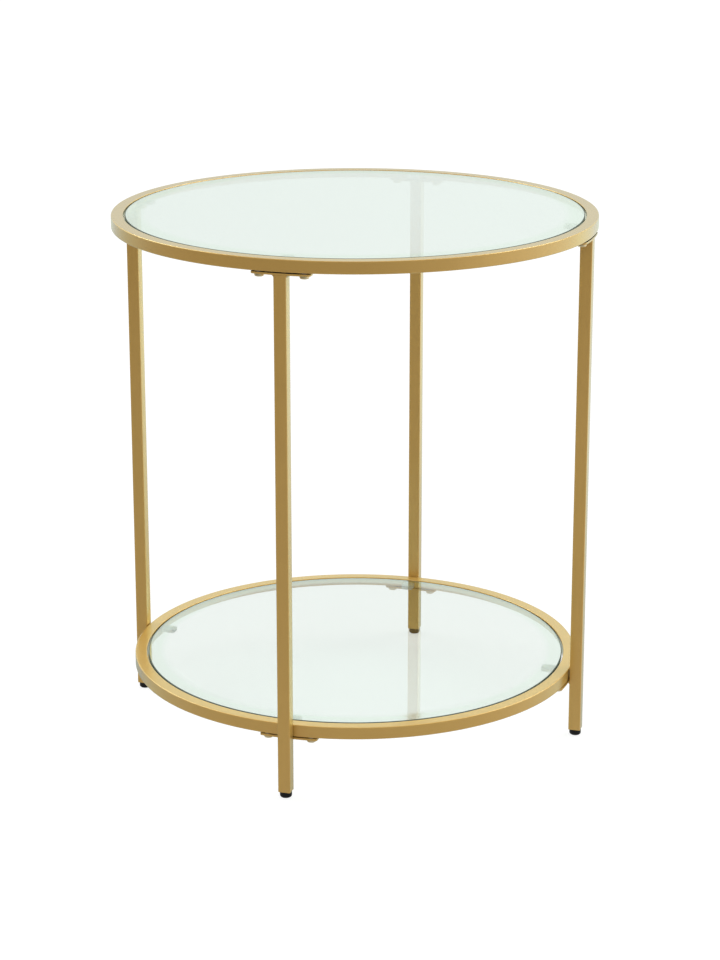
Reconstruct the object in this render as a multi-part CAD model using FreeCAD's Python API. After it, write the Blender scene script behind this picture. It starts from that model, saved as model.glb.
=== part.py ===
import FreeCAD, Part
import math
import os

os.makedirs("parts", exist_ok=True)

# A round two-tier side table: two tube rings on four tube legs, with a loose
# pane of glass in each ring. Millimetres. The origin is on the floor under
# the middle of the table, +Z is up, and the legs stand on the X and Y axes.

# Whole table
top_diameter = 500.0      # outside of the top ring
table_height = 550.0      # floor to the upper face of the top ring
shelf_height = 75.0       # floor to the upper face of the lower ring
leg_angles = {"right": 0, "back": 90, "left": 180, "front": 270}

# Square steel tube, the same for the rings and the legs
tube_side = 12.7
tube_wall = 1.2
tube_corner = 1.0         # radius along the outside edges
lower_ring_gap = 0.8      # lower ring's outer wall to the legs' inner faces

# Flat plates under the rings, each with two screws
plate_thickness = 2.0
plate_corner = 3.0
plate_end = 7.5           # screw centre to the end of the plate
weld_size = 2.5

# Machine screws and the rivet nuts that they turn into
screw_spacing = 45.0      # between the two screws of one plate
screw_diameter = 5.0
screw_hole_gap = 0.3      # around the screw, in the plate
thread_gap = 0.05         # around the screw, in the nut
screw_end_gap = 2.2       # screw's end to the far wall of the ring tube
head_diameter = 9.5
head_height = 3.3
head_round = 1.7
recess_length = 4.6       # cross recess in the screw head
recess_width = 0.9
recess_depth = 1.8
nut_wall = 1.0
nut_flange_diameter = 9.0
nut_flange_height = 0.9   # it holds the plate this far off the ring
nut_hole_gap = 0.1
nut_end_gap = 1.5         # nut's end to the far wall of the ring tube
nut_bulge_gap = 1.1       # nut's crimped bulge to the side walls of the tube
nut_bulge_height = 2.5

# Glass panes
glass_thickness = 5.0
glass_inset = 0.3         # glass below the ring's upper face
glass_side_gap = 1.4      # all round, between the glass and the ring
glass_arris = 1.0
glass_pad_gap = 0.2

# Clear sleeves under the glass, and the tabs inside the rings that carry them
pad_length = 15.3         # along the leg's radius
pad_width = 12.5
pad_top = 1.2             # above the tab
pad_wall = 0.9            # beside, before and below the tab
pad_corner = 3.0
pad_edge = 0.5
tab_thickness = 2.0
tab_corner = 2.0
tab_weld_size = 2.0
tab_weld_gap = 0.1        # between the tab's outer corners and the ring
pad_weld_gap = 0.2        # between the weld and the pad

# Glides: a round foot below a ribbed plug in the leg
foot_height = 6.4
foot_setback = 0.2        # foot's edge inside the tube's outer face
foot_round = 2.4
plug_length = 14.0
plug_rib_depth = 0.8
plug_rib_height = 1.2
plug_rib_count = 3

# Sizes that follow
top_radius = top_diameter / 2
leg_radius = top_radius - tube_side / 2
leg_inner_face = top_radius - tube_side
lower_radius = leg_inner_face - lower_ring_gap
bore_side = tube_side - 2 * tube_wall
top_ring_base = table_height - tube_side
lower_ring_base = shelf_height - tube_side
plate_drop = nut_flange_height + plate_thickness
top_plate_base = top_ring_base - plate_drop
lower_plate_base = lower_ring_base - plate_drop
nut_diameter = screw_diameter + 2 * (thread_gap + nut_wall)
up = FreeCAD.Vector(0, 0, 1)


def box(x_low, x_high, y_low, y_high, z_low, z_high):
    corner = FreeCAD.Vector(x_low, y_low, z_low)
    return Part.makeBox(x_high - x_low, y_high - y_low, z_high - z_low, corner)


def cylinder(diameter, x, y, z_low, z_high):
    return Part.makeCylinder(diameter / 2, z_high - z_low, FreeCAD.Vector(x, y, z_low))


def upright_edges(solid):
    """Edges that run along Z."""
    return [e for e in solid.Edges
            if len(e.Vertexes) == 2 and abs(e.tangentAt(e.FirstParameter).z) > 0.999]


def round_edges(solid, height=None):
    """Circular edges, all of them or those at one height."""
    circles = [e for e in solid.Edges if isinstance(e.Curve, Part.Circle)]
    return [e for e in circles if height is None or abs(e.Curve.Center.z - height) < 1e-6]


def placed(shape, angle):
    """Turn a piece from the +X leg to the leg at this angle."""
    turned = shape.copy()
    turned.rotate(FreeCAD.Vector(0, 0, 0), up, angle)
    return turned


def screw_places(ring_radius):
    """The two screw centres of the +X plate, on the ring's centre line."""
    y = screw_spacing / 2
    x = math.sqrt((ring_radius - tube_side / 2) ** 2 - y ** 2)
    return [(x, -y), (x, y)]


def ring(outer_radius, base):
    """Tube bent to a circle, with the rivet nuts' holes in its underside."""
    height = base + tube_side
    inner_radius = outer_radius - tube_side
    tube = cylinder(2 * outer_radius, 0, 0, base, height)
    tube = tube.cut(cylinder(2 * inner_radius, 0, 0, base, height))
    tube = tube.makeFillet(tube_corner, round_edges(tube))
    bore = cylinder(2 * (outer_radius - tube_wall), 0, 0, base + tube_wall, height - tube_wall)
    bore = bore.cut(cylinder(2 * (inner_radius + tube_wall), 0, 0, base, height))
    tube = tube.cut(bore)
    for angle in leg_angles.values():
        for x, y in screw_places(outer_radius):
            hole = cylinder(nut_diameter + 2 * nut_hole_gap, x, y, base, base + 2 * tube_wall)
            tube = tube.cut(placed(hole, angle))
    return tube


def rivet_nut(x, y, ring_base):
    """Rivet nut with a flange below the tube's wall and its crimped bulge above it."""
    flange_base = ring_base - nut_flange_height
    height = ring_base + tube_side - tube_wall - nut_end_gap
    bulge_base = ring_base + tube_wall + nut_hole_gap
    body = cylinder(nut_diameter, x, y, flange_base, height)
    flange = cylinder(nut_flange_diameter, x, y, flange_base, ring_base)
    bulge = cylinder(bore_side - 2 * nut_bulge_gap, x, y, bulge_base, bulge_base + nut_bulge_height)
    bore = cylinder(screw_diameter + 2 * thread_gap, x, y, flange_base, height)
    return body.fuse(flange).fuse(bulge).cut(bore).removeSplitter()


def screw(x, y, ring_base):
    """Pan-head screw with a cross recess, its head against the plate's underside."""
    plate_base = ring_base - plate_drop
    head_base = plate_base - head_height
    head = cylinder(head_diameter, x, y, head_base, plate_base)
    head = head.makeFillet(head_round, round_edges(head, head_base))
    for half_x, half_y in ((recess_length, recess_width), (recess_width, recess_length)):
        slot = box(x - half_x / 2, x + half_x / 2, y - half_y / 2, y + half_y / 2,
                   head_base, head_base + recess_depth)
        head = head.cut(slot)
    shank_top = ring_base + tube_side - tube_wall - screw_end_gap
    shank = cylinder(screw_diameter, x, y, head_base + recess_depth, shank_top)
    return head.fuse(shank).removeSplitter()


def weld(start, away, down, run, size=weld_size):
    """Concave weld bead in a corner: along `away` and `down`, extruded by `run`."""
    a = start
    b = start + away * size
    c = start + down * size
    middle = start + (away + down) * size * (1 - math.sqrt(0.5))
    edges = [Part.LineSegment(a, b).toShape(), Part.Arc(b, middle, c).toShape(),
             Part.LineSegment(c, a).toShape()]
    return Part.Face(Part.Wire(edges)).extrude(run)


def plate(ring_radius, base):
    """Flat plate under the ring, trimmed to the ring's outer wall."""
    top = base + plate_thickness
    ring_inner = ring_radius - tube_side
    half_length = screw_spacing / 2 + plate_end
    sheet = box(ring_inner, 2 * ring_radius, -half_length, half_length, base, top)
    sheet = sheet.common(cylinder(2 * ring_radius, 0, 0, base, top))
    sheet = sheet.makeFillet(plate_corner, upright_edges(sheet))
    for x, y in screw_places(ring_radius):
        sheet = sheet.cut(cylinder(screw_diameter + 2 * screw_hole_gap, x, y, base, top))
    return sheet


def top_plate():
    """Plate on the leg's upper end, with a weld bead at each side of the leg."""
    sheet = plate(top_radius, top_plate_base)
    run = FreeCAD.Vector(tube_side - 2 * tube_corner, 0, 0)
    for side in (-1, 1):
        start = FreeCAD.Vector(leg_inner_face + tube_corner, side * tube_side / 2, top_plate_base)
        sheet = sheet.fuse(weld(start, FreeCAD.Vector(0, side, 0), -up, run))
    return sheet.removeSplitter()


def lower_plate():
    """Plate with an ear that butts against the leg's inner face, and a weld bead below it."""
    half_ear = tube_side / 2 - tube_corner
    sheet = plate(lower_radius, lower_plate_base)
    ear = box(lower_radius - plate_corner, leg_inner_face, -half_ear, half_ear,
              lower_plate_base, lower_plate_base + plate_thickness)
    start = FreeCAD.Vector(leg_inner_face, -half_ear, lower_plate_base)
    run = FreeCAD.Vector(0, 2 * half_ear, 0)
    bead = weld(start, FreeCAD.Vector(-1, 0, 0), -up, run)
    return sheet.fuse(ear).fuse(bead).removeSplitter()


def leg():
    """Straight tube from the glide to the underside of the top plate."""
    half = tube_side / 2
    tube = box(leg_radius - half, leg_radius + half, -half, half, foot_height, top_plate_base)
    tube = tube.makeFillet(tube_corner, upright_edges(tube))
    half_bore = bore_side / 2
    bore = box(leg_radius - half_bore, leg_radius + half_bore, -half_bore, half_bore,
               foot_height, top_plate_base)
    return tube.cut(bore)


def foot():
    """Round glide with a flat underside, and a square ribbed plug above it."""
    glide = cylinder(tube_side - 2 * foot_setback, leg_radius, 0, 0, foot_height)
    glide = glide.makeFillet(foot_round, round_edges(glide, 0))
    half_bore = bore_side / 2
    half_core = half_bore - plug_rib_depth
    plug = box(leg_radius - half_core, leg_radius + half_core, -half_core, half_core,
               foot_height, foot_height + plug_length)
    rib_pitch = plug_length / plug_rib_count
    for number in range(plug_rib_count):
        rib_base = foot_height + (number + 0.5) * rib_pitch
        rib = box(leg_radius - half_bore, leg_radius + half_bore, -half_bore, half_bore,
                  rib_base, rib_base + plug_rib_height)
        plug = plug.fuse(rib)
    return glide.fuse(plug).removeSplitter()


def glass_underside(ring_base):
    return ring_base + tube_side - glass_inset - glass_thickness


def tab_block(ring_radius, ring_base):
    """The tab's plain shape: its outer corners almost touch the ring, its inner ones are round."""
    half_tab = pad_width / 2 - pad_wall
    wall = math.sqrt((ring_radius - tube_side) ** 2 - half_tab ** 2) - tab_weld_gap
    end = wall - tab_weld_size - pad_weld_gap - pad_length + pad_wall
    height = glass_underside(ring_base) - glass_pad_gap - pad_top
    block = box(end, wall, -half_tab, half_tab, height - tab_thickness, height)
    inner_corners = [e for e in upright_edges(block) if e.Vertexes[0].X < (end + wall) / 2]
    return block.makeFillet(tab_corner, inner_corners)


def tab(ring_radius, ring_base):
    """Tab on the ring's inner wall, with a weld bead below it."""
    block = tab_block(ring_radius, ring_base)
    bounds = block.BoundBox
    start = FreeCAD.Vector(bounds.XMax, bounds.YMin, bounds.ZMin)
    run = FreeCAD.Vector(0, bounds.YLength, 0)
    bead = weld(start, FreeCAD.Vector(-1, 0, 0), -up, run, tab_weld_size)
    return block.fuse(bead).removeSplitter()


def pad(ring_radius, ring_base):
    """Clear sleeve slipped over the tab's free end, with its thick side under the glass."""
    block = tab_block(ring_radius, ring_base)
    bounds = block.BoundBox
    end = bounds.XMin - pad_wall
    sleeve = box(end, end + pad_length, -pad_width / 2, pad_width / 2,
                 bounds.ZMin - pad_wall, bounds.ZMax + pad_top)
    sleeve = sleeve.makeFillet(pad_corner, upright_edges(sleeve))
    rims = [e for e in sleeve.Edges if e.BoundBox.ZLength < 1e-6]
    return sleeve.makeFillet(pad_edge, rims).cut(block)


def glass(ring_radius, ring_base):
    """Round pane with a small arris at both edges, loose inside its ring."""
    base = glass_underside(ring_base)
    radius = ring_radius - tube_side - glass_side_gap
    pane = cylinder(2 * radius, 0, 0, base, base + glass_thickness)
    return pane.makeChamfer(glass_arris, round_edges(pane))


def around(solids):
    """Copies at all four legs, as one group of separate solids."""
    copies = [placed(solid, angle) for angle in leg_angles.values() for solid in solids]
    return Part.makeCompound(copies)


nodes = {
    "top_ring": ring(top_radius, top_ring_base),
    "lower_ring": ring(lower_radius, lower_ring_base),
    "top_glass": glass(top_radius, top_ring_base),
    "lower_glass": glass(lower_radius, lower_ring_base),
    "top_screws": around([screw(x, y, top_ring_base) for x, y in screw_places(top_radius)]),
    "lower_screws": around([screw(x, y, lower_ring_base) for x, y in screw_places(lower_radius)]),
    "top_rivet_nuts": around([rivet_nut(x, y, top_ring_base) for x, y in screw_places(top_radius)]),
    "lower_rivet_nuts": around([rivet_nut(x, y, lower_ring_base)
                                for x, y in screw_places(lower_radius)]),
}
per_leg = {
    "leg": leg(),
    "foot": foot(),
    "top_plate": top_plate(),
    "lower_plate": lower_plate(),
    "top_tab": tab(top_radius, top_ring_base),
    "lower_tab": tab(lower_radius, lower_ring_base),
    "top_pad": pad(top_radius, top_ring_base),
    "lower_pad": pad(lower_radius, lower_ring_base),
}
for place, angle in leg_angles.items():
    for name, shape in per_leg.items():
        nodes[name + "_" + place] = placed(shape, angle)

for name, shape in nodes.items():
    print(name, shape.isValid(), len(shape.Solids), round(shape.Volume, 1))
    shape.exportStep("parts/" + name + ".step")
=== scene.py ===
import math

import bmesh
import bpy
from mathutils import Matrix, Vector


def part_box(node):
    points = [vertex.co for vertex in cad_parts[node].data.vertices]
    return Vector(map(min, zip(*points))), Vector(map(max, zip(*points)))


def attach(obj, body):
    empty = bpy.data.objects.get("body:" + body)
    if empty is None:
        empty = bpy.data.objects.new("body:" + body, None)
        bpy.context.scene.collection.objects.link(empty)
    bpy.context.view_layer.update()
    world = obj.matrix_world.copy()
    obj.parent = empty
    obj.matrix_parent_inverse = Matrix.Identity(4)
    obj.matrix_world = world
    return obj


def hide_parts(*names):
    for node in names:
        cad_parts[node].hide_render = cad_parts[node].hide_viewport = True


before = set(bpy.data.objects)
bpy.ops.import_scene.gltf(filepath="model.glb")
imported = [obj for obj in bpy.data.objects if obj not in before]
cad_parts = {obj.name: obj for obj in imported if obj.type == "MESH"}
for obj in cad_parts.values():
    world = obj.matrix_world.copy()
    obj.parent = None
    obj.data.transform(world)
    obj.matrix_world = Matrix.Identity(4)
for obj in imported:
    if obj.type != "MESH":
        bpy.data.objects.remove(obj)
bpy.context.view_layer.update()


# --- Camera ---------------------------------------------------------------------------------
# A long lens stands half a metre above the tabletop, to the right of the front leg, so that
# both shelves are seen from above and no leg hides another.
image_height = 960
camera_azimuth = math.radians(16.56)
camera_distance = 2.6645
camera_height = 1.0658
aim_height = 0.2608
aim_right = 0.0052
focal_pixels = 2627.8
# The frame is taller than it is wide, so the sensor's longer side stands upright.
sensor = 36.0

ahead = Vector((-math.sin(camera_azimuth), math.cos(camera_azimuth), 0))
rightward = Vector((math.cos(camera_azimuth), math.sin(camera_azimuth), 0))
stand = Vector((0, 0, camera_height)) - ahead * camera_distance
target = Vector((0, 0, aim_height)) + rightward * aim_right

lens = bpy.data.cameras.new("camera")
lens.sensor_width = sensor
lens.lens = focal_pixels * sensor / image_height
camera = bpy.data.objects.new("camera", lens)
camera.location = stand
camera.rotation_mode = "QUATERNION"
camera.rotation_quaternion = (target - stand).to_track_quat("-Z", "Y")
bpy.context.scene.collection.objects.link(camera)
bpy.context.scene.camera = camera
bpy.context.scene.view_settings.view_transform = "Standard"


# --- Studio ---------------------------------------------------------------------------------
# A sweep of matt white paper, lit most behind the table and to its right, where a glow painted on the
# paper for reflections is brightest too. The room in front is dimmer, and that gives the frame its deep
# gold on the faces that mirror it.
def add_node(tree, kind, inputs=None, **settings):
    """Adds one node to a node tree, with its settings and its linked or fixed inputs."""
    node = tree.nodes.new(kind)
    for name, value in settings.items():
        setattr(node, name, value)
    for name, value in (inputs or {}).items():
        if isinstance(value, bpy.types.NodeSocket):
            tree.links.new(value, node.inputs[name])
        else:
            node.inputs[name].default_value = value
    return node


def linear(hex_colour):
    """Turns an sRGB hex colour into the linear RGBA that a shader socket takes."""
    parts = [int(hex_colour[i : i + 2], 16) / 255 for i in (1, 3, 5)]
    return [c / 12.92 if c <= 0.04045 else ((c + 0.055) / 1.055) ** 2.4 for c in parts] + [1]


def new_material(name):
    """Makes a node material with nothing in it, and returns it with its node tree."""
    material = bpy.data.materials.new(name)
    material.use_nodes = True
    material.node_tree.nodes.clear()
    return material, material.node_tree


# The bright side lies behind the table, 45 degrees to its right, and is brightest low down.
bright_turn = math.radians(45)
bright_side = ahead * math.cos(bright_turn) + rightward * math.sin(bright_turn)
bright_dip = math.radians(25)
bright_low = bright_side * math.cos(bright_dip) - Vector((0, 0, math.sin(bright_dip)))
room_light = 0.58
bright_light = 0.98

# The camera and the panes see the room white. It lights the table at one even level, and its
# mirror image on metal and glass grows brighter towards the bright side.
world = bpy.data.worlds.new("studio")
bpy.context.scene.world = world
world.use_nodes = True
room = world.node_tree
room.nodes.clear()
ray = add_node(room, "ShaderNodeLightPath")
direction = add_node(room, "ShaderNodeTexCoord")
towards = add_node(
    room,
    "ShaderNodeVectorMath",
    {0: direction.outputs["Generated"], 1: bright_low},
    operation="DOT_PRODUCT",
)
mirrored = add_node(
    room,
    "ShaderNodeMapRange",
    {
        "Value": towards.outputs["Value"],
        "From Min": -0.9,
        "From Max": 0.9,
        "To Min": room_light,
        "To Max": bright_light,
    },
)
lit = add_node(
    room,
    "ShaderNodeMix",
    {"Factor": ray.outputs["Is Glossy Ray"], "A": room_light, "B": mirrored.outputs[0]},
)
seen = add_node(
    room,
    "ShaderNodeMath",
    {0: ray.outputs["Is Camera Ray"], 1: ray.outputs["Is Transmission Ray"]},
    operation="MAXIMUM",
)
strength = add_node(room, "ShaderNodeMix", {"Factor": seen.outputs[0], "A": lit.outputs[0], "B": 1.0})
backdrop = add_node(
    room, "ShaderNodeBackground", {"Color": linear("#FFFFFF"), "Strength": strength.outputs[0]}
)
add_node(room, "ShaderNodeOutputWorld", {"Surface": backdrop.outputs[0]})

floor_size = 60.0
floor_drop = 0.0002

bpy.ops.object.select_all(action="DESELECT")
bpy.ops.mesh.primitive_plane_add(size=floor_size, location=(0, 0, -floor_drop))
floor = bpy.context.object
floor.name = "floor"

# The camera and the panes see the paper white, with a faint shadow under the table. The metal mirrors a
# painted glow on it instead: dim in front of the table, and ever brighter behind it and to its right.
sweep, tree = new_material("matt_white_sweep")
ray = add_node(tree, "ShaderNodeLightPath")
place = add_node(tree, "ShaderNodeTexCoord")
towards = add_node(
    tree,
    "ShaderNodeVectorMath",
    {0: place.outputs["Object"], 1: bright_side},
    operation="DOT_PRODUCT",
)
# Both maps paint the glow that only reflections see, and run over metres from the table's middle towards
# the bright side.
near = add_node(
    tree,
    "ShaderNodeMapRange",
    {"Value": towards.outputs["Value"], "From Min": -2.4, "From Max": -0.9, "To Min": 0.2, "To Max": 0.5},
)
far = add_node(
    tree,
    "ShaderNodeMapRange",
    {"Value": towards.outputs["Value"], "From Min": -0.4, "From Max": 1.4, "To Max": 0.62},
)
mirrored = add_node(tree, "ShaderNodeMath", {0: near.outputs[0], 1: far.outputs[0]})
seen = add_node(
    tree,
    "ShaderNodeMath",
    {0: ray.outputs["Is Camera Ray"], 1: ray.outputs["Is Transmission Ray"]},
    operation="MAXIMUM",
)
paper = add_node(tree, "ShaderNodeBsdfDiffuse", {"Color": linear("#E7E7E7")})
shade = add_node(tree, "ShaderNodeBsdfDiffuse", {"Color": linear("#818181")})
glow = add_node(tree, "ShaderNodeEmission", {"Strength": 0.85})
shown = add_node(tree, "ShaderNodeAddShader", {0: shade.outputs[0], 1: glow.outputs[0]})
# Glossy rays see only this painted glow on the paper, with no shadow in it.
painted_reflection_glow = add_node(tree, "ShaderNodeEmission", {"Strength": mirrored.outputs[0]})
unseen = add_node(
    tree,
    "ShaderNodeMixShader",
    {0: ray.outputs["Is Glossy Ray"], 1: paper.outputs[0], 2: painted_reflection_glow.outputs[0]},
)
above = add_node(
    tree, "ShaderNodeMixShader", {0: seen.outputs[0], 1: unseen.outputs[0], 2: shown.outputs[0]}
)
# From below, the sweep is clear, so that the table's underside shows.
geometry = add_node(tree, "ShaderNodeNewGeometry")
below = add_node(tree, "ShaderNodeBsdfTransparent")
surface = add_node(
    tree,
    "ShaderNodeMixShader",
    {0: geometry.outputs["Backfacing"], 1: above.outputs[0], 2: below.outputs[0]},
)
add_node(tree, "ShaderNodeOutputMaterial", {"Surface": surface.outputs[0]})
floor.data.materials.append(sweep)

# Two broad suns stand behind the table, one at each side, so that shadows and highlights are
# soft and the fronts of the rings and legs stay in the room's even light.
for name, azimuth, elevation, power, spread in (
    ("right_rear", 114, 46, 1.2, 36),
    ("left_rear", -124, 40, 1.1, 36),
):
    light = bpy.data.lights.new(name, "SUN")
    light.energy = power
    light.angle = math.radians(spread)
    lamp = bpy.data.objects.new(name, light)
    turn = math.radians(azimuth) + camera_azimuth
    rise = math.radians(elevation)
    source = Vector((math.sin(turn) * math.cos(rise), -math.cos(turn) * math.cos(rise), math.sin(rise)))
    lamp.rotation_mode = "QUATERNION"
    lamp.rotation_quaternion = (-source).to_track_quat("-Z", "Y")
    bpy.context.scene.collection.objects.link(lamp)


# --- Rings ----------------------------------------------------------------------------------
# Two hoops of half-inch square steel tube, rolled to a circle, butted and welded, with the
# weld ground flush. The upper ring holds the tabletop and the lower one the shelf.
tube_side = 0.0127
tube_corner = 0.001
round_sides = 256

# The whole frame is sprayed with a satin gold lacquer: metal flake under a clear coat. The
# flake gives a fine grain, and the coat pales to cream where it is seen at a low angle.
gold, tree = new_material("satin_gold_lacquered_steel")
place = add_node(tree, "ShaderNodeTexCoord")
# The spray lies a little thicker in patches of about 33 mm. A noise pattern's scale counts its
# patches in a metre, so it is one over their size.
spray_patch = 0.0333
cloud = add_node(
    tree,
    "ShaderNodeTexNoise",
    {"Vector": place.outputs["Object"], "Scale": 1 / spray_patch, "Detail": 3.0},
)
tone = add_node(
    tree,
    "ShaderNodeMix",
    {0: cloud.outputs["Fac"], 6: linear("#D4A754"), 7: linear("#DCAF5A")},
    data_type="RGBA",
)
# Real flake is about 0.05 mm across. It is drawn near 0.8 mm, so that it shows at all.
flake_size = 0.000833
flake = add_node(
    tree,
    "ShaderNodeTexNoise",
    {"Vector": place.outputs["Object"], "Scale": 1 / flake_size, "Detail": 2.0},
)
gloss = add_node(
    tree,
    "ShaderNodeMapRange",
    {"Value": flake.outputs["Fac"], "From Min": 0.3, "From Max": 0.7, "To Min": 0.58, "To Max": 0.66},
)
grain = add_node(
    tree, "ShaderNodeBump", {"Height": flake.outputs["Fac"], "Strength": 0.25, "Distance": 0.00003}
)
shader = add_node(
    tree,
    "ShaderNodeBsdfPrincipled",
    {
        "Base Color": tone.outputs[2],
        "Metallic": 0.65,
        "Roughness": gloss.outputs[0],
        "Specular Tint": linear("#FFF9E7"),
        "Normal": grain.outputs["Normal"],
    },
)
# The coat mirrors a tenth of the light face on, and nearly all of it at a grazing angle.
angle = add_node(tree, "ShaderNodeLayerWeight")
facing = angle.outputs["Facing"]
steep = add_node(tree, "ShaderNodeMath", {0: facing, 1: 3.0}, operation="POWER")
coat = add_node(
    tree, "ShaderNodeMath", {0: steep.outputs[0], 1: 1.15, 2: 0.09}, operation="MULTIPLY_ADD"
)
paling = add_node(tree, "ShaderNodeMapRange", {"Value": facing, "From Min": 0.62, "From Max": 0.82})
cream = add_node(
    tree,
    "ShaderNodeMix",
    {0: paling.outputs[0], 6: linear("#F4FACC"), 7: linear("#D8DCCB")},
    data_type="RGBA",
)
sheen = add_node(tree, "ShaderNodeBsdfGlossy", {"Color": cream.outputs[2], "Roughness": 0.24})
lacquer = add_node(
    tree, "ShaderNodeMixShader", {0: coat.outputs[0], 1: shader.outputs[0], 2: sheen.outputs[0]}
)
add_node(tree, "ShaderNodeOutputMaterial", {"Surface": lacquer.outputs[0]})


def select(piece, kind, wanted):
    """Selects the faces or edges, and no others, that a test picks by their place or normal."""
    bpy.ops.mesh.select_mode(type=kind)
    bpy.ops.mesh.select_all(action="DESELECT")
    mesh = bmesh.from_edit_mesh(piece.data)
    for part in mesh.faces if kind == "FACE" else mesh.edges:
        if wanted(part):
            part.select_set(True)
    bmesh.update_edit_mesh(piece.data)


# The cosine past which a face or an edge counts as square to an axis or along it.
aligned = 0.99


def lies_flat(face):
    """Whether a face looks straight up or straight down."""
    return abs(face.normal.z) > aligned


def begin(name):
    """Names the primitive that was just added, fixes its place in its mesh, and opens it for editing."""
    piece = bpy.context.object
    piece.name = piece.data.name = name
    bpy.ops.object.transform_apply(location=True, rotation=True, scale=True)
    bpy.ops.object.mode_set(mode="EDIT")
    return piece


def modify(piece, kind, **settings):
    """Gives a piece a modifier and applies it."""
    bpy.context.view_layer.objects.active = piece
    modifier = piece.modifiers.new(kind.lower(), kind)
    for name, value in settings.items():
        setattr(modifier, name, value)
    bpy.ops.object.modifier_apply(modifier=modifier.name)


# Edges that turn by more than this are sharp: they are rounded off, or left unsmoothed.
sharp_turn = math.radians(40)


def round_off(piece, width, segments):
    """Rounds a piece's sharp edges, with hardened normals so that its flat faces stay flat."""
    modify(
        piece,
        "BEVEL",
        width=width,
        segments=segments,
        limit_method="ANGLE",
        angle_limit=sharp_turn,
        harden_normals=True,
    )


def place_in(piece, body, finishes, node):
    """Gives a finished piece its materials and its body, and hides the CAD node that it stands for."""
    for finish in finishes:
        piece.data.materials.append(finish)
    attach(piece, body)
    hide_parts(node)


for ring in ("top_ring", "lower_ring"):
    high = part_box(ring)[1]
    bpy.ops.object.select_all(action="DESELECT")
    bpy.ops.mesh.primitive_cylinder_add(
        vertices=round_sides, radius=high.x, depth=tube_side, location=(0, 0, high.z - tube_side / 2)
    )
    hoop = begin("gold_" + ring)
    select(hoop, "FACE", lies_flat)
    bpy.ops.mesh.inset(thickness=tube_side)
    bpy.ops.mesh.bridge_edge_loops()
    bpy.ops.mesh.select_all(action="SELECT")
    bpy.ops.mesh.normals_make_consistent(inside=False)
    bpy.ops.object.mode_set(mode="OBJECT")
    bpy.ops.object.shade_smooth()
    round_off(hoop, tube_corner, 5)
    place_in(hoop, "frame", [gold], ring)


# --- Legs -----------------------------------------------------------------------------------
# Four lengths of the same square tube, sawn square, open at both ends and eased at the saw
# cut. They stand outside the lower ring and under the upper one.
tube_wall = 0.0012
saw_edge = 0.0004
leg_sides = ("right", "back", "left", "front")


def upright(edge):
    """Whether an edge runs straight up."""
    return abs((edge.verts[0].co - edge.verts[1].co).normalized().z) > aligned


def around(piece, kind, body, finishes):
    """Puts a copy of the right leg's piece at each leg in turn, and finishes all four."""
    for quarter, leg_side in enumerate(leg_sides):
        copy = piece.copy()
        copy.data = piece.data.copy()
        copy.name = copy.data.name = piece.name + "_" + leg_side
        copy.data.transform(Matrix.Rotation(math.radians(90 * quarter), 4, "Z"))
        bpy.context.scene.collection.objects.link(copy)
        place_in(copy, body, finishes, kind + "_" + leg_side)
    bpy.data.objects.remove(piece)


low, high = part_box("leg_right")
bpy.ops.object.select_all(action="DESELECT")
bpy.ops.mesh.primitive_cube_add(size=1, location=(low + high) / 2, scale=high - low)
leg = begin("square_leg")
select(leg, "FACE", lies_flat)
bpy.ops.mesh.inset(thickness=tube_wall)
bpy.ops.mesh.bridge_edge_loops()
# Only the tube's outer corners are round. The inner ones lie a wall's thickness further in.
mid_wall = (tube_side - tube_wall) / 2
select(leg, "EDGE", lambda edge: upright(edge) and abs(edge.verts[0].co.y) > mid_wall)
bpy.ops.mesh.bevel(offset=tube_corner, segments=5, affect="EDGES")
bpy.ops.mesh.select_all(action="SELECT")
bpy.ops.mesh.normals_make_consistent(inside=False)
bpy.ops.object.mode_set(mode="OBJECT")
bpy.ops.object.shade_smooth()
round_off(leg, saw_edge, 2)
around(leg, "leg", "frame", [gold])


# --- Plates ---------------------------------------------------------------------------------
# Eight flat plates of 2 mm sheet under the rings, trimmed to the rings' outer walls. Each is welded to a
# leg and takes two screws up into its ring. The flanges of the rivet nuts hold it 0.9 mm off the ring,
# which leaves a dark line between them: the gap's own shade, deepened under the top ring by painted shade
# on the top plates' upper faces.
plate_thickness = 0.002
plate_gap = 0.0009
plate_corner = 0.003
plate_edge = 0.0003
bead_size = 0.0025
bead_pitch = 0.0012
# A bead is a square bar whose outer edge is bevelled nearly right across, which hollows its
# face, as a bevel's profile is hollow below 0.5. Each ripple is narrower at its two ends.
bead_profile = 0.16
bead_cut = 0.98
ripple_neck = 0.86

# The top plates' upper faces, which lie in the gap under the top ring, get a painted shade: a dull
# brown-black with a faint speckle that keeps reflections out, so that the gap reads dark. The speckle is
# drawn near 1.1 mm, so that it shows.
shade_speckle_size = 0.00111
gap_painted_shade, tree = new_material("painted_gap_shade_dull_dark")
place = add_node(tree, "ShaderNodeTexCoord")
shade_speckle = add_node(
    tree,
    "ShaderNodeTexNoise",
    {"Vector": place.outputs["Object"], "Scale": 1 / shade_speckle_size, "Detail": 2.0},
)
tone = add_node(
    tree,
    "ShaderNodeMix",
    {0: shade_speckle.outputs["Fac"], 6: linear("#1E1A15"), 7: linear("#2C261F")},
    data_type="RGBA",
)
shader = add_node(
    tree,
    "ShaderNodeBsdfPrincipled",
    {"Base Color": tone.outputs[2], "Roughness": 0.8, "Specular IOR Level": 0.2},
)
add_node(tree, "ShaderNodeOutputMaterial", {"Surface": shader.outputs[0]})


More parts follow.
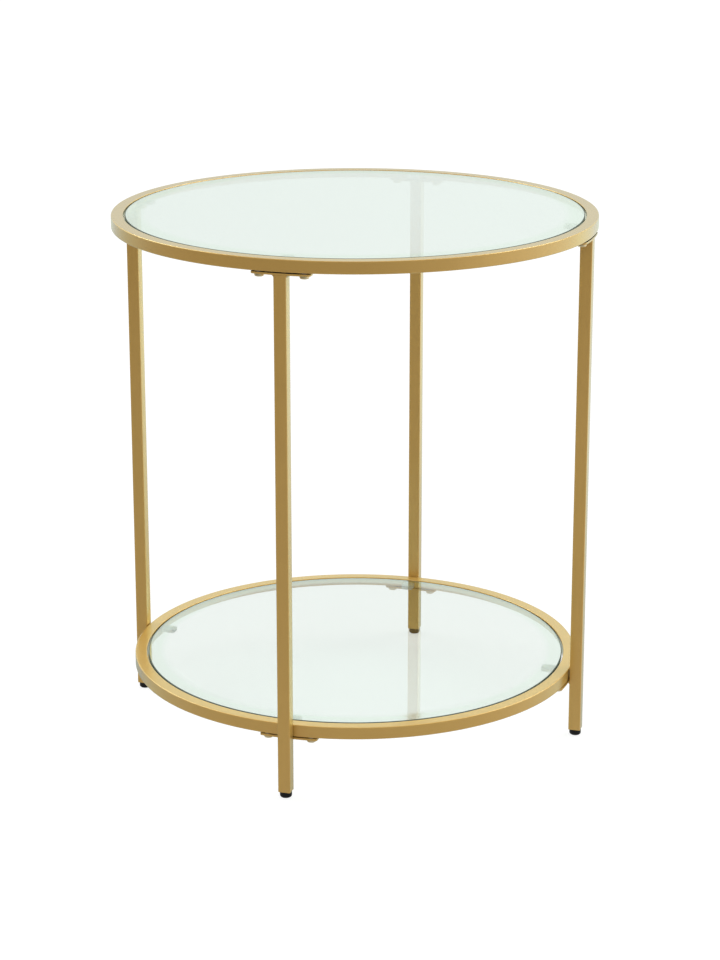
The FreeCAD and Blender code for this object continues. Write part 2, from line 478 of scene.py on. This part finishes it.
def cut_plate(name, node, ring):
    """Makes the plate under a ring at the right leg, without its weld."""
    plate_low, plate_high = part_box(node)
    ring_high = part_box(ring)[1]
    plate_top = ring_high.z - tube_side - plate_gap
    bpy.ops.object.select_all(action="DESELECT")
    bpy.ops.mesh.primitive_cylinder_add(vertices=round_sides, radius=ring_high.x, depth=tube_side)
    under_ring = bpy.context.object
    under_ring.location.z = plate_top
    bpy.ops.mesh.primitive_cube_add(
        size=1,
        location=(ring_high.x, 0, plate_top - plate_thickness / 2),
        scale=(2 * tube_side, plate_high.y - plate_low.y, plate_thickness),
    )
    sheet = begin(name)
    bpy.ops.object.mode_set(mode="OBJECT")
    modify(sheet, "BOOLEAN", operation="INTERSECT", object=under_ring, solver="EXACT")
    bpy.data.objects.remove(under_ring)
    bpy.ops.object.mode_set(mode="EDIT")
    # The trimmed end is a fine curve, so only faces that are flat to half a degree are merged.
    bpy.ops.mesh.select_all(action="SELECT")
    bpy.ops.mesh.dissolve_limited(angle_limit=math.radians(0.5))
    select(
        sheet,
        "EDGE",
        lambda edge: upright(edge) and edge.calc_face_angle() > sharp_turn,
    )
    bpy.ops.mesh.bevel(offset=plate_corner, segments=6, affect="EDGES")
    bpy.ops.object.mode_set(mode="OBJECT")
    bpy.ops.object.shade_smooth()
    round_off(sheet, plate_edge, 2)
    return sheet


def weld_bead(length, size):
    """Makes a rippled, hollow-faced bead along +X from the origin, in the corner +Y, -Z."""
    count = round(length / bead_pitch)
    pitch = length / count
    bpy.ops.object.select_all(action="DESELECT")
    bpy.ops.mesh.primitive_cube_add(
        size=1,
        location=(pitch / 2, size / 2, -size / 2),
        scale=(pitch, size, size),
    )
    bead = begin("bead")
    select(
        bead,
        "EDGE",
        lambda edge: all(v.co.y > size / 2 and v.co.z < -size / 2 for v in edge.verts),
    )
    bpy.ops.mesh.bevel(offset=bead_cut * size, segments=6, profile=bead_profile, affect="EDGES")
    bpy.ops.mesh.select_all(action="SELECT")
    bpy.ops.mesh.bisect(plane_co=(pitch / 2, 0, 0), plane_no=(1, 0, 0))
    select(bead, "FACE", lambda face: abs(face.normal.x) > aligned)
    bpy.ops.transform.resize(value=(1, ripple_neck, ripple_neck), center_override=(0, 0, 0))
    bpy.ops.mesh.delete(type="FACE")
    bpy.ops.object.mode_set(mode="OBJECT")
    modify(
        bead,
        "ARRAY",
        count=count,
        relative_offset_displace=(1, 0, 0),
        use_merge_vertices=True,
        merge_threshold=0.00001,
    )
    bpy.ops.object.mode_set(mode="EDIT")
    bpy.ops.mesh.select_all(action="SELECT")
    bpy.ops.mesh.fill_holes(sides=0)
    bpy.ops.mesh.select_all(action="SELECT")
    bpy.ops.mesh.normals_make_consistent(inside=False)
    bpy.ops.object.mode_set(mode="OBJECT")
    bpy.ops.object.shade_smooth_by_angle(angle=sharp_turn)
    return bead


def join(piece, *others):
    """Makes other pieces part of this one's mesh."""
    bpy.ops.object.select_all(action="DESELECT")
    for other in (piece, *others):
        other.select_set(True)
    bpy.context.view_layer.objects.active = piece
    bpy.ops.object.join()


leg_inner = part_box("leg_right")[0].x
bead_run = tube_side - 2 * tube_corner

# The upper plate closes the leg's end, with a bead at each side of the leg. Its upper face gets the
# painted shade for the gap under the ring.
plate_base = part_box("leg_right")[1].z
plate = cut_plate("flat_top_plate", "top_plate_right", "top_ring")
beads = []
for side in (-1, 1):
    bead = weld_bead(bead_run, bead_size)
    bead.data.transform(Matrix.Scale(side, 4, Vector((0, 1, 0))))
    if side < 0:
        bead.data.flip_normals()
    bead.data.transform(Matrix.Translation((leg_inner + tube_corner, side * tube_side / 2, plate_base)))
    beads.append(bead)
join(plate, *beads)
# The plate's upper face, in the gap under the ring, takes the painted shade.
for face in plate.data.polygons:
    if face.normal.z > aligned and face.center.z > plate_base + plate_thickness / 2:
        face.material_index = 1
around(plate, "top_plate", "frame", [gold, gap_painted_shade])

# The lower plate has an ear that butts against the leg, with a bead below it. The ear is a
# hair thinner than the plate, so that no face of one lies in a face of the other.
plate_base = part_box("lower_ring")[1].z - tube_side - plate_gap - plate_thickness
plate = cut_plate("flat_lower_plate", "lower_plate_right", "lower_ring")
ear_depth = leg_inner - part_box("lower_ring")[1].x + plate_corner
ear_thickness = plate_thickness - plate_edge / 2
bpy.ops.object.select_all(action="DESELECT")
bpy.ops.mesh.primitive_cube_add(
    size=1,
    location=(leg_inner - ear_depth / 2, 0, plate_base + plate_thickness / 2),
    scale=(ear_depth, bead_run, ear_thickness),
)
ear = begin("ear")
bpy.ops.object.mode_set(mode="OBJECT")
bpy.ops.object.shade_smooth()
round_off(ear, plate_edge, 2)
bead = weld_bead(bead_run, bead_size)
bead.data.transform(Matrix.Rotation(math.radians(90), 4, "Z"))
bead.data.transform(Matrix.Translation((leg_inner, -bead_run / 2, plate_base)))
join(plate, ear, bead)
around(plate, "lower_plate", "frame", [gold])


# --- Tabs -----------------------------------------------------------------------------------
# Eight tabs of 2 mm sheet that stand in from the rings' inner walls to carry the glass. Their
# free ends are cut round, and each has a small weld bead in the corner below it.
tab_thickness = 0.002
tab_corner = 0.002
tab_bead = 0.002

for level in ("top", "lower"):
    low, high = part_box(level + "_tab_right")
    low.z = high.z - tab_thickness
    bpy.ops.object.select_all(action="DESELECT")
    bpy.ops.mesh.primitive_cube_add(size=1, location=(low + high) / 2, scale=high - low)
    tab = begin("welded_" + level + "_tab")
    free_end = low.x + tab_corner
    select(tab, "EDGE", lambda edge: upright(edge) and edge.verts[0].co.x < free_end)
    bpy.ops.mesh.bevel(offset=tab_corner, segments=6, affect="EDGES")
    bpy.ops.object.mode_set(mode="OBJECT")
    bpy.ops.object.shade_smooth()
    round_off(tab, plate_edge, 2)
    bead = weld_bead(high.y - low.y, tab_bead)
    bead.data.transform(Matrix.Rotation(math.radians(90), 4, "Z"))
    bead.data.transform(Matrix.Translation((high.x, low.y, low.z)))
    join(tab, bead)
    around(tab, level + "_tab", "frame", [gold])


# --- Screws and rivet nuts ------------------------------------------------------------------
# Pan-head M5 machine screws with a cross recess, turned up through the plates into rivet nuts
# that are crimped into holes in the rings' undersides. Both are of steel, and stay as the CAD
# draws them, with these finishes.

# The screws' plating is pale gold, and its tint drifts a little every 4 mm.
tint_patch = 0.00385
zinc, tree = new_material("yellow_zinc_plated_steel")
place = add_node(tree, "ShaderNodeTexCoord")
cast = add_node(
    tree,
    "ShaderNodeTexNoise",
    {"Vector": place.outputs["Object"], "Scale": 1 / tint_patch, "Detail": 2.0},
)
tone = add_node(
    tree,
    "ShaderNodeMix",
    {0: cast.outputs["Fac"], 6: linear("#DCC79C"), 7: linear("#E0D2A8")},
    data_type="RGBA",
)
shader = add_node(
    tree,
    "ShaderNodeBsdfPrincipled",
    {"Base Color": tone.outputs[2], "Metallic": 1.0, "Roughness": 0.32},
)
add_node(tree, "ShaderNodeOutputMaterial", {"Surface": shader.outputs[0]})

# The nuts are plain bright zinc. Barrel plating leaves it dull in spots of about 1.4 mm.
dull_spot = 0.00143
plain_zinc, tree = new_material("bright_zinc_plated_steel")
place = add_node(tree, "ShaderNodeTexCoord")
spangle = add_node(
    tree,
    "ShaderNodeTexNoise",
    {"Vector": place.outputs["Object"], "Scale": 1 / dull_spot, "Detail": 2.0},
)
gloss = add_node(
    tree, "ShaderNodeMapRange", {"Value": spangle.outputs["Fac"], "To Min": 0.25, "To Max": 0.45}
)
shader = add_node(
    tree,
    "ShaderNodeBsdfPrincipled",
    {"Base Color": linear("#C9CCCE"), "Metallic": 1.0, "Roughness": gloss.outputs[0]},
)
add_node(tree, "ShaderNodeOutputMaterial", {"Surface": shader.outputs[0]})

for level in ("top", "lower"):
    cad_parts[level + "_screws"].material_slots[0].material = zinc
    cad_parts[level + "_rivet_nuts"].material_slots[0].material = plain_zinc


# --- Feet -----------------------------------------------------------------------------------
# Round glides of black nylon, each moulded in one piece with a ribbed plug that is pushed into
# the lower end of a leg. They stay as the CAD draws them, with this finish.

# The mould was spark eroded, so the nylon is satin and its highlight is a soft grey arc. The
# erosion leaves pits of about 0.1 mm. They are drawn near 0.5 mm, so that they show.
pit_size = 0.0005
nylon, tree = new_material("moulded_black_nylon")
place = add_node(tree, "ShaderNodeTexCoord")
pits = add_node(
    tree, "ShaderNodeTexNoise", {"Vector": place.outputs["Object"], "Scale": 1 / pit_size, "Detail": 2.0}
)
gloss = add_node(
    tree, "ShaderNodeMapRange", {"Value": pits.outputs["Fac"], "To Min": 0.38, "To Max": 0.52}
)
relief = add_node(
    tree, "ShaderNodeBump", {"Height": pits.outputs["Fac"], "Strength": 0.3, "Distance": 0.00003}
)
shader = add_node(
    tree,
    "ShaderNodeBsdfPrincipled",
    {
        "Base Color": linear("#060606"),
        "Roughness": gloss.outputs[0],
        "IOR": 1.45,
        "Specular IOR Level": 0.3,
        "Normal": relief.outputs["Normal"],
    },
)
add_node(tree, "ShaderNodeOutputMaterial", {"Surface": shader.outputs[0]})

for leg_side in leg_sides:
    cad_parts["foot_" + leg_side].material_slots[0].material = nylon


# --- Pads -----------------------------------------------------------------------------------
# Eight sleeves of clear silicone, slipped over the tabs' free ends. They are cast with round
# edges, and the glass lies on a low crown in the middle of each.
pad_corner = 0.003
pad_edge = 0.0005
pad_crown = 0.0002
# The silicone grips the tab, so the slot through it is a little smaller than the tab.
slot_grip = 0.00005

# Cast silicone is soft, clear and slightly milky, more so in clouds of about 5 mm.
milk_cloud = 0.005
silicone, tree = new_material("cast_clear_silicone")
place = add_node(tree, "ShaderNodeTexCoord")
milk = add_node(
    tree,
    "ShaderNodeTexNoise",
    {"Vector": place.outputs["Object"], "Scale": 1 / milk_cloud, "Detail": 1.0},
)
tone = add_node(
    tree,
    "ShaderNodeMix",
    {0: milk.outputs["Fac"], 6: linear("#EDF4F0"), 7: linear("#F8FBF9")},
    data_type="RGBA",
)
shader = add_node(
    tree,
    "ShaderNodeBsdfPrincipled",
    {
        "Base Color": tone.outputs[2],
        "Roughness": 0.4,
        "IOR": 1.41,
        "Transmission Weight": 0.6,
    },
)
add_node(tree, "ShaderNodeOutputMaterial", {"Surface": shader.outputs[0]})

for level in ("top", "lower"):
    low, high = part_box(level + "_pad_right")
    high.z -= pad_crown
    slot_low, slot_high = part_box(level + "_tab_right")
    slot_low.z = slot_high.z - tab_thickness
    bpy.ops.object.select_all(action="DESELECT")
    bpy.ops.mesh.primitive_cube_add(
        size=1,
        location=(slot_low + slot_high) / 2,
        scale=slot_high - slot_low - 2 * Vector((slot_grip, slot_grip, slot_grip)),
    )
    slot = bpy.context.object
    bpy.ops.mesh.primitive_cube_add(size=1, location=(low + high) / 2, scale=high - low)
    pad = begin(level + "_silicone_pad")
    select(pad, "EDGE", upright)
    bpy.ops.mesh.bevel(offset=pad_corner, segments=8, affect="EDGES")
    select(pad, "FACE", lies_flat)
    bpy.ops.mesh.bevel(offset=pad_edge, segments=4, affect="EDGES")
    select(pad, "FACE", lambda face: face.normal.z > aligned)
    bpy.ops.mesh.inset(thickness=pad_corner / 2, depth=pad_crown)
    bpy.ops.object.mode_set(mode="OBJECT")
    modify(pad, "BOOLEAN", operation="DIFFERENCE", object=slot, solver="EXACT")
    bpy.data.objects.remove(slot)
    bpy.ops.object.shade_smooth_by_angle(angle=sharp_turn)
    around(pad, level + "_pad", "frame", [silicone])


# --- Glass ----------------------------------------------------------------------------------
# Two round panes of 5 mm float glass, ground at the edge and then tempered. They lie loose on
# their pads, a hair below the rings' upper faces.
arris = 0.001

# Float glass is clear, and a little iron in it gives a slight green cast.
glass, tree = new_material("clear_tempered_float_glass")
ray = add_node(tree, "ShaderNodeLightPath")
clear = add_node(
    tree,
    "ShaderNodeBsdfPrincipled",
    {"Base Color": linear("#F6F6F6"), "Roughness": 0.0, "IOR": 1.52, "Transmission Weight": 1.0},
)
# Tempering leaves the surface faintly wavy, so at a very low angle it turns to a white sheen.
angle = add_node(tree, "ShaderNodeLayerWeight")
low_angle = add_node(
    tree,
    "ShaderNodeMapRange",
    {"Value": angle.outputs["Facing"], "From Min": 0.68, "From Max": 0.81, "To Max": 0.75},
)
# The ground edge scatters light back into the pane. There it looks milky and a little greener,
# evenly up to 12 mm from the rim and then less and less up to 22 mm. Both panes share this
# material, so the rim's distance from the middle follows from the height.
milk_full = 0.012
milk_end = 0.022
lower_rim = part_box("lower_glass")[1]
top_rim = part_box("top_glass")[1]
place = add_node(tree, "ShaderNodeTexCoord")
flat = add_node(
    tree,
    "ShaderNodeVectorMath",
    {0: place.outputs["Object"], 1: (1, 1, 0)},
    operation="MULTIPLY",
)
radius = add_node(tree, "ShaderNodeVectorMath", {0: flat.outputs[0]}, operation="LENGTH")
height = add_node(tree, "ShaderNodeSeparateXYZ", {0: place.outputs["Object"]})
rim = add_node(
    tree,
    "ShaderNodeMapRange",
    {
        "Value": height.outputs["Z"],
        "From Min": lower_rim.z,
        "From Max": top_rim.z,
        "To Min": lower_rim.x,
        "To Max": top_rim.x,
    },
)
inward = add_node(
    tree,
    "ShaderNodeMath",
    {0: rim.outputs[0], 1: radius.outputs["Value"]},
    operation="SUBTRACT",
)
milky = add_node(
    tree,
    "ShaderNodeMapRange",
    {
        "Value": inward.outputs[0],
        "From Min": milk_full,
        "From Max": milk_end,
        "To Min": 0.55,
        "To Max": 0.0,
    },
)
whitened = add_node(
    tree, "ShaderNodeMath", {0: low_angle.outputs[0], 1: milky.outputs[0]}, operation="MAXIMUM"
)
# Only the face that the light meets first turns white. From inside, the far face stays clear.
geometry = add_node(tree, "ShaderNodeNewGeometry")
first_face = add_node(
    tree,
    "ShaderNodeMix",
    {"Factor": geometry.outputs["Backfacing"], "A": whitened.outputs[0], "B": 0.0},
)
veil = add_node(
    tree,
    "ShaderNodeMix",
    {0: milky.outputs[0], 6: linear("#F5FFF9"), 7: linear("#E6FAE8")},
    data_type="RGBA",
)
haze = add_node(tree, "ShaderNodeBsdfGlossy", {"Color": veil.outputs[2], "Roughness": 0.12})
pane = add_node(
    tree, "ShaderNodeMixShader", {0: first_face.outputs[0], 1: clear.outputs[0], 2: haze.outputs[0]}
)
# Light for what lies behind a pane passes straight through it, slightly tinted.
shadow = add_node(tree, "ShaderNodeBsdfTransparent", {"Color": linear("#E9F2ED")})
surface = add_node(
    tree,
    "ShaderNodeMixShader",
    {0: ray.outputs["Is Shadow Ray"], 1: pane.outputs[0], 2: shadow.outputs[0]},
)
body = add_node(tree, "ShaderNodeVolumeAbsorption", {"Color": linear("#BFE3CF"), "Density": 40.0})
add_node(
    tree, "ShaderNodeOutputMaterial", {"Surface": surface.outputs[0], "Volume": body.outputs[0]}
)

# From outside the ground edge is dark green: the glass's own green seen edge-on, with painted shade added
# for the narrow gap between pane and ring. From inside the pane it mirrors what is below.
# The diamond wheel leaves marks of about 0.2 mm. They are drawn near 0.6 mm, to show at all.
wheel_mark = 0.000625
ground, tree = new_material("ground_glass_edge")
place = add_node(tree, "ShaderNodeTexCoord")
scratches = add_node(
    tree,
    "ShaderNodeTexNoise",
    {"Vector": place.outputs["Object"], "Scale": 1 / wheel_mark, "Detail": 2.0},
)
tone = add_node(
    tree,
    "ShaderNodeMix",
    {0: scratches.outputs["Fac"], 6: linear("#35473A"), 7: linear("#4C6152")},
    data_type="RGBA",
)
shader = add_node(
    tree,
    "ShaderNodeBsdfPrincipled",
    {"Base Color": tone.outputs[2], "Roughness": 0.5, "IOR": 1.52, "Transmission Weight": 0.3},
)
inside = add_node(
    tree, "ShaderNodeBsdfGlass", {"Color": linear("#E4F1E8"), "Roughness": 0.1, "IOR": 1.52}
)
geometry = add_node(tree, "ShaderNodeNewGeometry")
surface = add_node(
    tree,
    "ShaderNodeMixShader",
    {0: geometry.outputs["Backfacing"], 1: shader.outputs[0], 2: inside.outputs[0]},
)
add_node(tree, "ShaderNodeOutputMaterial", {"Surface": surface.outputs[0]})

for level in ("top", "lower"):
    low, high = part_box(level + "_glass")
    bpy.ops.object.select_all(action="DESELECT")
    bpy.ops.mesh.primitive_cylinder_add(
        vertices=round_sides,
        radius=high.x,
        depth=high.z - low.z,
        location=(0, 0, (low.z + high.z) / 2),
    )
    disc = begin(level + "_glass_pane")
    select(disc, "FACE", lies_flat)
    bpy.ops.mesh.bevel(offset=arris, segments=2, profile=0.6, affect="EDGES")
    bpy.ops.object.mode_set(mode="OBJECT")
    for face in disc.data.polygons:
        polished = lies_flat(face)
        face.material_index = 0 if polished else 1
        face.use_smooth = not polished
    place_in(disc, level + "_pane", [glass, ground], level + "_glass")
